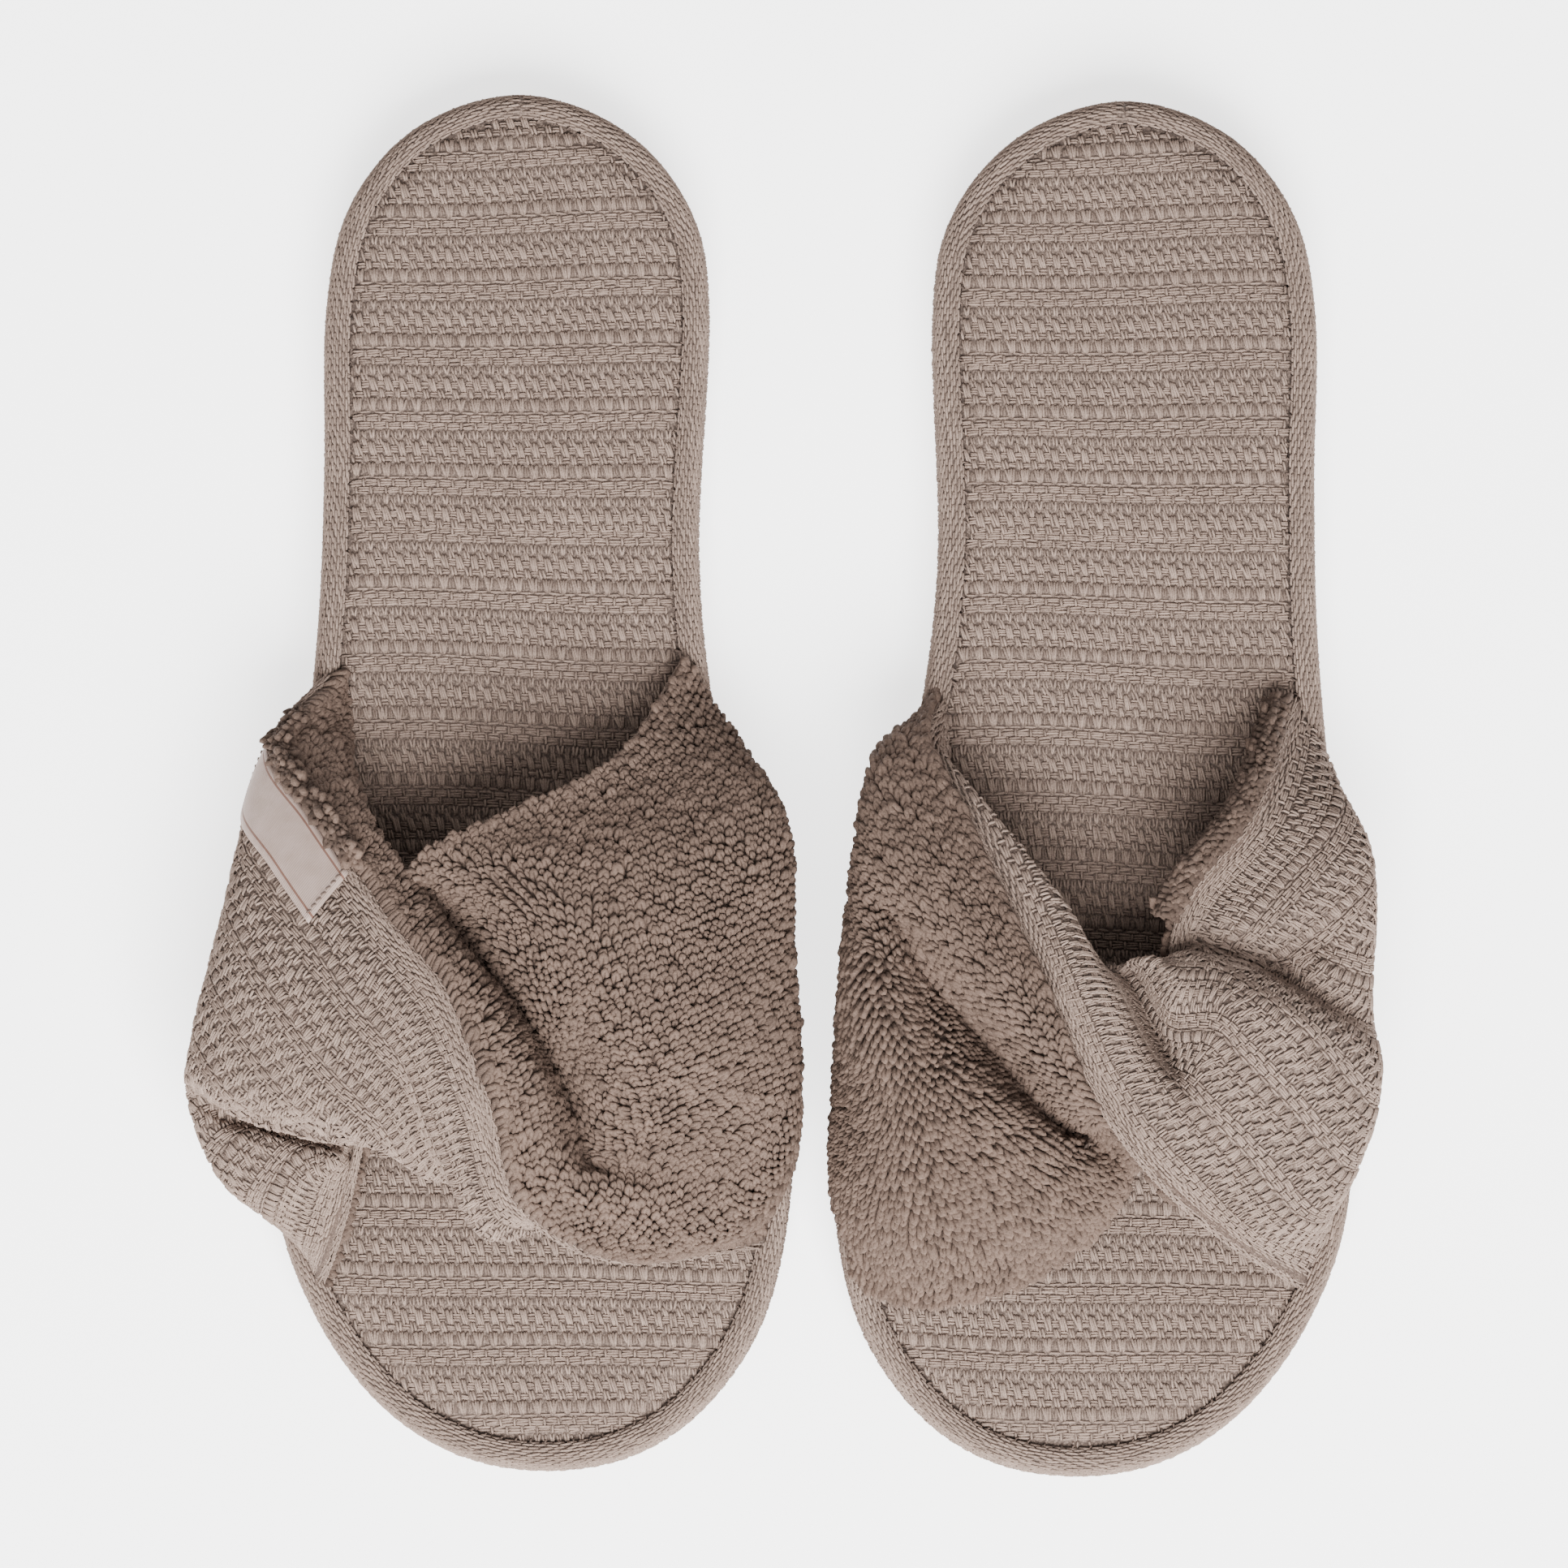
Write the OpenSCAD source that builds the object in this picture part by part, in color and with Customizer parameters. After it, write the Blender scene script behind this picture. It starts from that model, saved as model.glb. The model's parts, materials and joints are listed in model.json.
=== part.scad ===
// A pair of spa slippers: layered platform soles, each with a half-twisted two-cloth band.
// Millimetres. X runs across the pair, Y from the toes to the heels, Z up from the floor.
// left_* is the wearer's left slipper, on the +X side; right_* is its mirror-soled partner.

/* [Pair] */
// Distance between the two heel centre lines
heel_spacing = 119.3; // [116:0.1:140]
// Sideways shift of the pair's middle, which centres the whole pair on X = 0
pair_shift = 5.9; // [0:0.1:10]
// Where each sole flexes, just behind its band
flex_y = 31; // [30:1:60]
// Open slit between the two halves of a flexing layer
flex_gap = 0.4; // [0.3:0.1:1]

/* [Sole] */
// Thickness of the outsole
outsole_height = 2.6; // [2:0.1:4]
// Height of the midsole's top above the floor
midsole_top = 12; // [10:0.5:16]
// Thickness of the soft padding under the foot
padding_height = 3.2; // [2:0.1:6]
// Thickness of the cloths
cloth = 1.2; // [0.8:0.1:1.6]
// How far the top seam lies in from the side of the sole
seam_inset = 4.8; // [4.5:0.1:6]

/* [Tread] */
// Distance between the grooves in the outsole
groove_pitch = 11; // [8:0.5:20]
// Width of a groove
groove_width = 2.4; // [1:0.1:4]
// Depth of a groove
groove_depth = 1; // [0.4:0.1:1.5]

/* [Band] */
// Thickness of the foam interlining
interlining = 2; // [1:0.1:3]
// Thickness of the terry with its loops
terry_height = 2.6; // [1.5:0.1:3]
// Thickness of the woven cloth
woven_height = 2; // [1:0.1:3]
// Thickness of the label ribbon
label_height = 0.6; // [0.4:0.1:1]

/* [Hidden] */

taupe = [0.66, 0.6, 0.55];
taupe_light = [0.74, 0.68, 0.63];
taupe_dark = [0.52, 0.46, 0.42];
foam_grey = [0.86, 0.85, 0.83];
label_pink = [0.85, 0.76, 0.72];

play = 0.1;
sole_top = midsole_top + padding_height + cloth;
wall_gap = cloth + 0.8;
tuck = seam_inset + 0.2;
thread_r = 0.25;
band_base = sole_top + 0.7;
thread_lift = 0.05;
label_lift = 0.25;

// Sole outline of the left slipper, clockwise from the heel: x outwards, y towards the heel
sole_points = [
    [0, 135], [20, 128.5], [33, 113], [37.5, 92], [37.4, 60], [38.3, 28], [42, -12], [45.5, -52],
    [44.5, -84], [36.5, -106], [24, -122.5], [9, -132], [-8, -135], [-25, -132], [-39, -122.5],
    [-50, -106], [-55, -84], [-55, -60], [-49, -25], [-40, 10], [-36, 45], [-37.5, 92],
    [-33.5, 113], [-20, 128.5]];
curve_steps = 4;

// Band nets: each row runs over the foot from the -X side to the +X side. The first row is the
// edge that passes over the twist, the last row the edge that passes under it.
left_net = [
    [[-35, 16, band_base], [-33, 2, 32], [-26, -20, 45], [-16, -46, 55],
     [-6, -65, 54], [8, -81, 45], [24, -91, 32], [37, -97, band_base]],
    [[-41, -12, band_base], [-48, -17, 34], [-37, -32, 48], [-14, -42, 54],
     [2, -50, 56], [20, -58, 50], [42, -64, 36], [40, -70, band_base]],
    [[-46, -40, band_base], [-51, -44, 34], [-38, -52, 46], [-12, -56, 47],
     [6, -50, 50], [26, -44, 50], [47, -42, 36], [40, -42, band_base]],
    [[-48, -68, band_base], [-51, -70, 30], [-40, -76, 38], [-14, -72, 41],
     [4, -54, 43], [26, -30, 44], [44, -16, 34], [37, -12, band_base]],
    [[-48, -97, band_base], [-38, -103, 25], [-20, -99, 31], [-2, -84, 36],
     [6, -56, 38], [12, -24, 40], [24, -2, 33], [33.5, 19, band_base]]];
right_net = [
    [[-35, 19, band_base], [-44, 2, 34], [-30, -17, 46], [-12, -43, 55],
     [-2, -68, 54], [8, -86, 42], [28, -94, 28], [48, -89, band_base]],
    [[-37, -10, band_base], [-54, -20, 36], [-38, -36, 50], [-12, -46, 53],
     [12, -56, 53], [32, -62, 46], [50, -62, 34], [48, -64, band_base]],
    [[-41, -40, band_base], [-59, -50, 34], [-42, -56, 46], [-14, -54, 47],
     [12, -42, 49], [34, -38, 47], [52, -38, 34], [47, -36, band_base]],
    [[-40, -70, band_base], [-56, -68, 30], [-36, -68, 38], [-16, -52, 41],
     [4, -28, 46], [28, -18, 44], [46, -12, 32], [40, -6, band_base]],
    [[-35, -99, band_base], [-31, -88, 30], [-26, -74, 36], [-22, -48, 38],
     [-18, -22, 42], [0, -10, 43], [20, 4, 34], [33, 22, band_base]]];
band_cells_u = 28;
band_cells_v = 12;

// Point on a Catmull-Rom curve between b and c
function blend4(a, b, c, d, t) =
    0.5 * (2 * b + (c - a) * t + (2 * a - 5 * b + 4 * c - d) * t * t
           + (3 * b - a - 3 * c + d) * t * t * t);
// Point at 0 to 1 along an open row of points
function along(row, s) =
    let (n = len(row) - 1, k = min(floor(s * n), n - 1), t = s * n - k)
    blend4(k > 0 ? row[k - 1] : 2 * row[0] - row[1], row[k], row[k + 1],
           k < n - 1 ? row[k + 2] : 2 * row[n] - row[n - 1], t);
// Closed curve through a ring of points
function closed_curve(points, steps) =
    let (n = len(points))
    [for (i = [0 : n - 1], j = [0 : steps - 1])
        blend4(points[(i + n - 1) % n], points[i], points[(i + 1) % n], points[(i + 2) % n],
               j / steps)];
// The ring moved inwards by a distance
function inset(ring, distance) =
    let (n = len(ring))
    [for (i = [0 : n - 1])
        let (t = ring[(i + 1) % n] - ring[(i + n - 1) % n])
        ring[i] + distance * [t.y, -t.x] / norm(t)];
sole_ring = closed_curve(sole_points, curve_steps);

// Middle surface of a band, its unit normal, and a point lifted off it but kept over the sole
function band_point(net, u, v) = along([for (row = net) along(row, u)], v);
function band_normal(net, u, v) =
    let (e = 0.01,
         du = band_point(net, min(u + e, 1), v) - band_point(net, max(u - e, 0), v),
         dv = band_point(net, u, min(v + e, 1)) - band_point(net, u, max(v - e, 0)),
         c = cross(dv, du))
    c / norm(c);
function lifted(net, u, v, h) =
    let (p = band_point(net, u, v) + h * band_normal(net, u, v))
    [p.x, p.y, max(p.z, band_base)];

// Closed skin over a list of rings, joined end to end when it is a loop
module ring_skin(rings) {
    n = len(rings);
    m = len(rings[0]);
    polyhedron(
        points = [for (ring = rings) each ring],
        faces = [for (i = [0 : n - 1], j = [0 : m - 1], half = [0, 1])
            let (a = i * m + j, b = i * m + (j + 1) % m,
                 c = ((i + 1) % n) * m + (j + 1) % m, d = ((i + 1) % n) * m + j)
            half == 0 ? [a, b, c] : [a, c, d]]);
}

// Slab between two heights over a stretch of a band's middle surface
module band_slab(net, us, vs, low, high, cells_u, cells_v) {
    row = cells_v + 1;
    size = (cells_u + 1) * row;
    function u_at(i) = us[0] + (us[1] - us[0]) * i / cells_u;
    function v_at(j) = vs[0] + (vs[1] - vs[0]) * j / cells_v;
    sheets = [for (h = [low, high], i = [0 : cells_u], j = [0 : cells_v])
        lifted(net, u_at(i), v_at(j), h)];
    rim = concat(
        [for (i = [0 : cells_u - 1]) i * row],
        [for (j = [0 : cells_v - 1]) cells_u * row + j],
        [for (i = [cells_u : -1 : 1]) i * row + cells_v],
        [for (j = [cells_v : -1 : 1]) j]);
    last = len(rim);
    polyhedron(points = sheets, faces = concat(
        [for (i = [0 : cells_u - 1], j = [0 : cells_v - 1], half = [0, 1])
            let (a = i * row + j, b = a + row, c = b + 1, d = a + 1)
            half == 0 ? [a, b, c] : [a, c, d]],
        [for (i = [0 : cells_u - 1], j = [0 : cells_v - 1], half = [0, 1])
            let (a = size + i * row + j, b = a + row, c = b + 1, d = a + 1)
            half == 0 ? [a, c, b] : [a, d, c]],
        [for (k = [0 : last - 1], half = [0, 1])
            let (a = rim[k], b = rim[(k + 1) % last])
            half == 0 ? [a, size + a, size + b] : [a, size + b, b]]));
}

// Puts children on one slipper's heel line: side is 1 for the left and -1 for the right
module on_slipper(side) translate([pair_shift + side * heel_spacing / 2, 0, 0]) children();
// The same, with the right slipper's children mirrored into a right foot
module sole_of(side) on_slipper(side) mirror([side < 0 ? 1 : 0, 0, 0]) children();

// Keeps the front (-1) or the heel (+1) half of a sole layer, with half the slit cut away
module half_of(part) {
    intersection() {
        children();
        translate([-100, part < 0 ? flex_y - 300 - flex_gap / 2 : flex_y + flex_gap / 2, -10])
            cube([200, 300, 100]);
    }
}

// Flat layer of the sole between two heights, inset from the side
module sole_layer(low, high, distance)
    translate([0, 0, low]) linear_extrude(high - low) polygon(inset(sole_ring, distance));

module outsole(side, part) color(taupe_dark) sole_of(side) half_of(part)
    difference() {
        sole_layer(0, outsole_height, 1.6);
        for (y = [-110 : groove_pitch : 115])
            if (abs(y - flex_y) > groove_pitch / 2)
                translate([y < -90 ? -28 : y < -40 ? -34 : -22, y, -1])
                    cube([y < -90 ? 40 : y < -40 ? 62 : 44, groove_width, 1 + groove_depth]);
    }

module midsole(side, part) color(foam_grey) sole_of(side) half_of(part) {
    sole_layer(outsole_height, outsole_height + cloth + play, tuck + play);
    sole_layer(outsole_height + cloth + play, midsole_top, wall_gap + play);
}

module padding(side, part) color(foam_grey) sole_of(side) half_of(part) {
    sole_layer(midsole_top, midsole_top + 2, wall_gap + 1.3);
    sole_layer(midsole_top + 2, midsole_top + padding_height, tuck);
}

module insole_cover(side, part) color(taupe_light) sole_of(side) half_of(part)
    sole_layer(midsole_top + padding_height, sole_top, tuck);

// Cross-section of the wrap as [inset, height]: out round the side, then back along the inside
wrap_profile = [
    [tuck, outsole_height], [1, outsole_height], [0, outsole_height + 3], [0, midsole_top - 2],
    [0.7, midsole_top + 1], [2.3, midsole_top + 3.3], [seam_inset, sole_top],
    [seam_inset, sole_top - cloth], [3.1, midsole_top + 2.2], [1.9, midsole_top + 0.2],
    [cloth, midsole_top - 2], [cloth, outsole_height + 3], [wall_gap, outsole_height + cloth],
    [tuck, outsole_height + cloth]];

module wrap(side, part) color(taupe) sole_of(side) half_of(part)
    ring_skin([for (p = wrap_profile) [for (q = inset(sole_ring, p[0])) [q.x, q.y, p[1]]]]);

// Thread of the seam where the wrap meets the insole cover
module seam_thread(side, part) color(taupe_dark) sole_of(side) half_of(part)
    ring_skin([for (a = [0 : 72 : 288]) [
        for (q = inset(sole_ring, seam_inset + 0.1 - thread_r * cos(a)))
            [q.x, q.y, sole_top + thread_lift + thread_r * (1 + sin(a))]]]);

// A band's three layers: the upper cloth on its -X half, the interlining and the other cloth
module band_layer(side, net, low, high)
    on_slipper(side) band_slab(net, [0, 1], [0, 1], low, high, band_cells_u, band_cells_v);
half_foam = interlining / 2;

module left_band_terry() color(taupe_light)
    band_layer(1, left_net, half_foam, half_foam + terry_height);
module left_band_woven() color(taupe)
    band_layer(1, left_net, -half_foam - woven_height, -half_foam);
module left_band_interlining() color(foam_grey)
    band_layer(1, left_net, -half_foam, half_foam);
module right_band_terry() color(taupe_light)
    band_layer(-1, right_net, -half_foam - terry_height, -half_foam);
module right_band_woven() color(taupe)
    band_layer(-1, right_net, half_foam, half_foam + woven_height);
module right_band_interlining() color(foam_grey)
    band_layer(-1, right_net, -half_foam, half_foam);

// Blank ribbon label on the woven cloth beside the rear edge, and the tacks at its two ends
label_us = [0.1, 0.3];
label_vs = [0.03, 0.13];
label_low = half_foam + woven_height + label_lift;
module right_label() color(label_pink)
    on_slipper(-1) band_slab(right_net, label_us, label_vs, label_low, label_low + label_height, 8, 3);
module right_label_stitches() color(taupe_light)
    on_slipper(-1) for (u = [label_us[0] + 0.008, label_us[1] - 0.016])
        band_slab(right_net, [u, u + 0.008], [label_vs[0] + 0.01, label_vs[1] - 0.01],
                  label_low + label_height, label_low + label_height + 0.3, 1, 3);

outsole(1, -1);  // left_outsole_front
outsole(1, 1);  // left_outsole_heel
outsole(-1, -1);  // right_outsole_front
outsole(-1, 1);  // right_outsole_heel
midsole(1, -1);  // left_midsole_front
midsole(1, 1);  // left_midsole_heel
midsole(-1, -1);  // right_midsole_front
midsole(-1, 1);  // right_midsole_heel
padding(1, -1);  // left_padding_front
padding(1, 1);  // left_padding_heel
padding(-1, -1);  // right_padding_front
padding(-1, 1);  // right_padding_heel
insole_cover(1, -1);  // left_insole_cover_front
insole_cover(1, 1);  // left_insole_cover_heel
insole_cover(-1, -1);  // right_insole_cover_front
insole_cover(-1, 1);  // right_insole_cover_heel
wrap(1, -1);  // left_wrap_front
wrap(1, 1);  // left_wrap_heel
wrap(-1, -1);  // right_wrap_front
wrap(-1, 1);  // right_wrap_heel
seam_thread(1, -1);  // left_seam_thread_front
seam_thread(1, 1);  // left_seam_thread_heel
seam_thread(-1, -1);  // right_seam_thread_front
seam_thread(-1, 1);  // right_seam_thread_heel
left_band_terry();
left_band_woven();
left_band_interlining();
right_band_terry();
right_band_woven();
right_band_interlining();
right_label();
right_label_stitches();
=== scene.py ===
"""Looks of a pair of spa slippers: every yarn and loop of their cloths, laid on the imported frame.

Shapes are worked out in millimetres in each slipper's own frame, whose origin is on the floor
under its heel line, with x to the right, y towards the heel and z up. They become metres in the
shared frame when a mesh is made.
"""
import json
import math

import bpy
import numpy as np
from mathutils import Matrix, Vector
from mathutils.kdtree import KDTree


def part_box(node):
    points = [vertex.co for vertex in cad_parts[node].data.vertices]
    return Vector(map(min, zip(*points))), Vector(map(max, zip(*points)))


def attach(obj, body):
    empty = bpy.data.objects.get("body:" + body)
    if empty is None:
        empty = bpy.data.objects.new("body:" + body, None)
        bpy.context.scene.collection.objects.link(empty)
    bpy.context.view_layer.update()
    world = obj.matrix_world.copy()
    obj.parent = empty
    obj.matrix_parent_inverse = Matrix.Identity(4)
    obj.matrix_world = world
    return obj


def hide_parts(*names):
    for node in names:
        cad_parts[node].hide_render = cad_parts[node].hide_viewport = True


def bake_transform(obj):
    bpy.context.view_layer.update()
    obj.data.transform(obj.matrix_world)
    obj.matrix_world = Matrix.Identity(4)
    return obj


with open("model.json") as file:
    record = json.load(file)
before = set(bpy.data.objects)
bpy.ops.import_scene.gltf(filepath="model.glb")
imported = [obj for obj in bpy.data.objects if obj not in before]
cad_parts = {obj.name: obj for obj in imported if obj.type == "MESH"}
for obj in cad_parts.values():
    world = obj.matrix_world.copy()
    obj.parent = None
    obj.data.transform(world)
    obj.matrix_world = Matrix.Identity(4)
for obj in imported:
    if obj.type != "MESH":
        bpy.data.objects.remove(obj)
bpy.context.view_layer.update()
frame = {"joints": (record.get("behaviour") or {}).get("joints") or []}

MM = 0.001
random = np.random.default_rng(7)
joint_place = {j["name"]: j["pos_m"] for j in frame["joints"] if "pos_m" in j}
SLIPPERS = {name: {"x": joint_place[f"{name}_sole_flex"][0] / MM, "mirror": mirror}
            for name, mirror in (("left", 1), ("right", -1))}

# Heights of the sole's layers, from the CAD nodes
RUBBER_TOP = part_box("left_outsole_front")[1].z / MM
FOAM_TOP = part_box("left_midsole_front")[1].z / MM
SOLE_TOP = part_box("left_insole_cover_front")[1].z / MM

# Sole outline of the left slipper, the same points as the CAD model's
SOLE_POINTS = [
    [0, 135], [20, 128.5], [33, 113], [37.5, 92], [37.4, 60], [38.3, 28], [42, -12], [45.5, -52],
    [44.5, -84], [36.5, -106], [24, -122.5], [9, -132], [-8, -135], [-25, -132], [-39, -122.5],
    [-50, -106], [-55, -84], [-55, -60], [-49, -25], [-40, 10], [-36, 45], [-37.5, 92],
    [-33.5, 113], [-20, 128.5]]
SEAM_INSET = 4.9

# Bands: the outer faces of a band's two cloths. Each row runs over the foot from the -x side to
# the +x side. The first row is the seam that passes over the twist, the last row the seam that
# passes under it, and both cloths share those two.
END_Z = 16.2
LEFT_OVER = [[-35, 16, END_Z], [-38, 5, 29], [-29, -12, 39], [-20, -32, 47], [-13, -49, 53],
             [-5, -65, 54], [6, -79, 49], [20, -90, 37], [36, -98, END_Z]]
LEFT_UNDER = [[-50, -96, END_Z], [-45, -100, 21], [-32, -102, 27], [-17, -97, 31], [-1, -82, 34],
              [8, -54, 37], [11, -28, 41], [25, -8, 37], [34, 17, END_Z]]
RIGHT_OVER = [[-35, 20, END_Z], [-46, 4, 29], [-37, -11, 40], [-23, -31, 49], [-11, -46, 54],
              [-3, -66, 54], [4, -86, 46], [22, -95, 33], [50, -91, END_Z]]
RIGHT_UNDER = [[-36, -100, END_Z], [-33, -93, 24], [-30, -83, 31], [-27, -68, 36], [-24, -45, 38],
               [-18, -21, 43], [-1, -12, 43], [21, 1, 35], [34, 23, END_Z]]
BAND_NETS = {
    "left_terry": [
        LEFT_OVER,
        [[-41, 8, END_Z], [-47, 1, 31], [-41, -18, 44], [-31, -34, 49], [-20, -49, 52],
         [-9, -64, 50], [11, -69, 45], [27, -79, 34], [37, -84, END_Z]],
        [[-44, -14, END_Z], [-51, -17, 33], [-46, -30, 41], [-36, -43, 40], [-25, -56, 36],
         [-9, -69, 38], [14, -58, 44], [33, -64, 35], [38, -66, END_Z]],
        [[-49, -36, END_Z], [-53, -38, 33], [-48, -47, 44], [-35, -59, 46], [-21, -68, 44],
         [-4, -72, 38], [18, -48, 43], [37, -50, 33], [38, -46, END_Z]],
        [[-53, -58, END_Z], [-54, -60, 28], [-47, -66, 41], [-33, -74, 44], [-16, -77, 42],
         [1, -66, 36], [17, -41, 38], [34, -36, 30], [37, -28, END_Z]],
        [[-53, -79, END_Z], [-54, -82, 25], [-44, -88, 35], [-28, -89, 39], [-8, -84, 38],
         [4, -60, 35], [13, -33, 36], [30, -20, 31], [35, -6, END_Z]],
        LEFT_UNDER],
    "left_woven": [
        LEFT_OVER,
        [[-34, 2, END_Z], [-34, 1, 27], [-23, -12, 38], [-11, -28, 47], [-5, -43, 54],
         [2, -58, 55], [13, -72, 52], [37, -84, 33], [41, -86, END_Z]],
        [[-38, -14, END_Z], [-42, -16, 27], [-33, -24, 32], [-16, -34, 33], [1, -42, 44],
         [8, -54, 49], [19, -61, 54], [46, -70, 35], [44, -70, END_Z]],
        [[-43, -36, END_Z], [-46, -38, 26], [-40, -46, 31], [-27, -50, 30], [2, -37, 44],
         [11, -43, 52], [26, -48, 54], [49, -57, 36], [45, -54, END_Z]],
        [[-45, -56, END_Z], [-46, -58, 24], [-40, -64, 29], [-28, -66, 30], [-4, -46, 34],
         [10, -36, 45], [25, -38, 46], [47, -45, 35], [44, -38, END_Z]],
        [[-46, -77, END_Z], [-46, -80, 21], [-38, -86, 26], [-26, -84, 29], [-6, -64, 31],
         [8, -42, 39], [21, -27, 43], [46, -16, 34], [42, -1, END_Z]],
        LEFT_UNDER],
    "right_woven": [
        RIGHT_OVER,
        [[-40, 7, END_Z], [-50, -6, 31], [-46, -24, 43], [-31, -42, 52], [-18, -55, 53],
         [-9, -70, 50], [0, -89, 42], [37, -80, 27], [46, -72, END_Z]],
        [[-42, -16, END_Z], [-54, -26, 32], [-52, -42, 44], [-38, -56, 51], [-22, -66, 50],
         [-13, -76, 46], [1, -91, 37], [38, -68, 33], [47, -58, END_Z]],
        [[-44, -40, END_Z], [-60, -52, 32], [-55, -65, 40], [-39, -72, 45], [-24, -75, 45],
         [-11, -80, 38], [10, -72, 34], [44, -52, 29], [46, -44, END_Z]],
        [[-43, -58, END_Z], [-61, -65, 27], [-50, -67, 33], [-34, -68, 37], [-20, -66, 38],
         [-4, -62, 33], [26, -40, 36], [44, -34, 28], [44, -28, END_Z]],
        [[-42, -83, END_Z], [-53, -82, 25], [-44, -82, 32], [-31, -74, 36], [-22, -54, 38],
         [-10, -34, 36], [20, -22, 37], [39, -14, 27], [40, -5, END_Z]],
        RIGHT_UNDER],
    "right_terry": [
        RIGHT_OVER,
        [[-33, 6, END_Z], [-33, 2, 25], [-27, -13, 37], [-14, -30, 46], [-5, -44, 52],
         [4, -61, 53], [11, -80, 48], [42, -89, 29], [53, -81, END_Z]],
        [[-36, -14, END_Z], [-48, -22, 27], [-40, -34, 33], [-20, -38, 36], [2, -47, 43],
         [11, -61, 41], [19, -76, 41], [51, -77, 31], [54, -67, END_Z]],
        [[-38, -38, END_Z], [-52, -50, 26], [-45, -58, 32], [-27, -54, 34], [-4, -36, 43],
         [15, -47, 50], [31, -58, 50], [54, -61, 34], [53, -50, END_Z]],
        [[-37, -55, END_Z], [-52, -64, 21], [-43, -66, 26], [-29, -60, 30], [-13, -32, 39],
         [10, -32, 51], [32, -38, 50], [53, -38, 34], [51, -30, END_Z]],
        [[-38, -78, END_Z], [-48, -80, 19], [-39, -81, 24], [-28, -68, 30], [-18, -38, 36],
         [-3, -22, 47], [25, -20, 47], [50, -9, 32], [44, 4, END_Z]],
        RIGHT_UNDER],
}
# Folds pressed into each cloth and the one under it: points along the fold, depth and half width
FOLDS = {
    "left_terry": [
        ([[-46, -26], [-42, -32], [-36, -42], [-28, -50], [-20, -58], [-10, -68], [-1, -76]], 6, 2.6),
        ([[-44, -30], [-40, -44], [-37, -58]], 3, 3)],
    "left_woven": [
        ([[0, -35], [3, -45], [7, -53], [11, -61]], 5, 2.4),
        ([[14, -33], [22, -35], [29, -38], [37, -43], [46, -48]], 7, 2.6),
        ([[26, -37], [33, -35], [41, -32]], 5, 4.5)],
    "right_woven": [
        ([[-20, -58], [-18, -66], [-14, -76]], 2.5, 3),
        ([[-60, -64], [-54, -68], [-48, -69], [-40, -71], [-33, -73], [-27, -76]], 6, 2.2)],
    "right_terry": [
        ([[-15, -25], [-10, -31], [-3, -40], [3, -48], [9, -58], [14, -68], [16, -79]], 8, 2.6)],
}
# Which way each cloth's outer face lies: 1 where it is on top on the band's -x side
OUTER = {"left_terry": 1, "left_woven": -1, "right_woven": 1, "right_terry": -1}
# Share of each cloth's width, from the seam over the twist, where its stripes change over in a crease
CREASE = {"left_terry": 0.34, "left_woven": 0.67, "right_woven": 0.58, "right_terry": 0.36}


# ---- curves and surfaces

def catmull_rom(a, b, c, d, t):
    """Point on a Catmull-Rom curve between b and c."""
    return 0.5 * (2 * b + (c - a) * t + (2 * a - 5 * b + 4 * c - d) * t**2
                  + (3 * b - a - 3 * c + d) * t**3)


def along(rows, places):
    """Points at places from 0 to 1 along an open curve through rows."""
    last = len(rows) - 1
    k = np.minimum(np.floor(places * last).astype(int), last - 1)
    t = (places * last - k).reshape((-1,) + (1,) * (rows.ndim - 1))
    padded = np.concatenate([[2 * rows[0] - rows[1]], rows, [2 * rows[-1] - rows[-2]]])
    return catmull_rom(padded[k], padded[k + 1], padded[k + 2], padded[k + 3], t)


def closed_curve(points, steps):
    """Closed curve through a ring of points."""
    t = (np.arange(steps) / steps)[:, None]
    turned = (np.roll(np.array(points, float), shift, axis=0)[:, None] for shift in (1, 0, -1, -2))
    return np.concatenate([catmull_rom(*four, t) for four in zip(*turned)])


def inset(ring, distance):
    """The ring moved inwards by a distance."""
    tangent = np.roll(ring, -1, axis=0) - np.roll(ring, 1, axis=0)
    tangent /= np.linalg.norm(tangent, axis=1, keepdims=True)
    return ring + distance * np.stack([tangent[:, 1], -tangent[:, 0]], axis=1)


def smoothstep(x):
    """0 below 0, 1 above 1 and smooth between."""
    x = np.clip(x, 0, 1)
    return x * x * (3 - 2 * x)


def unit(vectors):
    """The vectors at length 1."""
    return vectors / (np.linalg.norm(vectors, axis=-1, keepdims=True) + 1e-9)


def read_at(points, running, wanted):
    """Points of a curve at the wanted lengths along it."""
    return np.stack([np.interp(wanted, running, points[:, k]) for k in range(3)], axis=1)


def resample(grid, lengths, count):
    """Each row of the grid at count evenly spaced places by its own running lengths."""
    return np.array([read_at(points, running, np.linspace(0, running[-1], count))
                     for points, running in zip(grid, lengths)])


def running_length(grid, axis):
    """Length covered up to each point of the grid along an axis."""
    steps = np.linalg.norm(np.diff(grid, axis=axis), axis=-1)
    start = np.zeros_like(np.take(steps, [0], axis=axis))
    return np.concatenate([start, np.cumsum(steps, axis=axis)], axis=axis)


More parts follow.
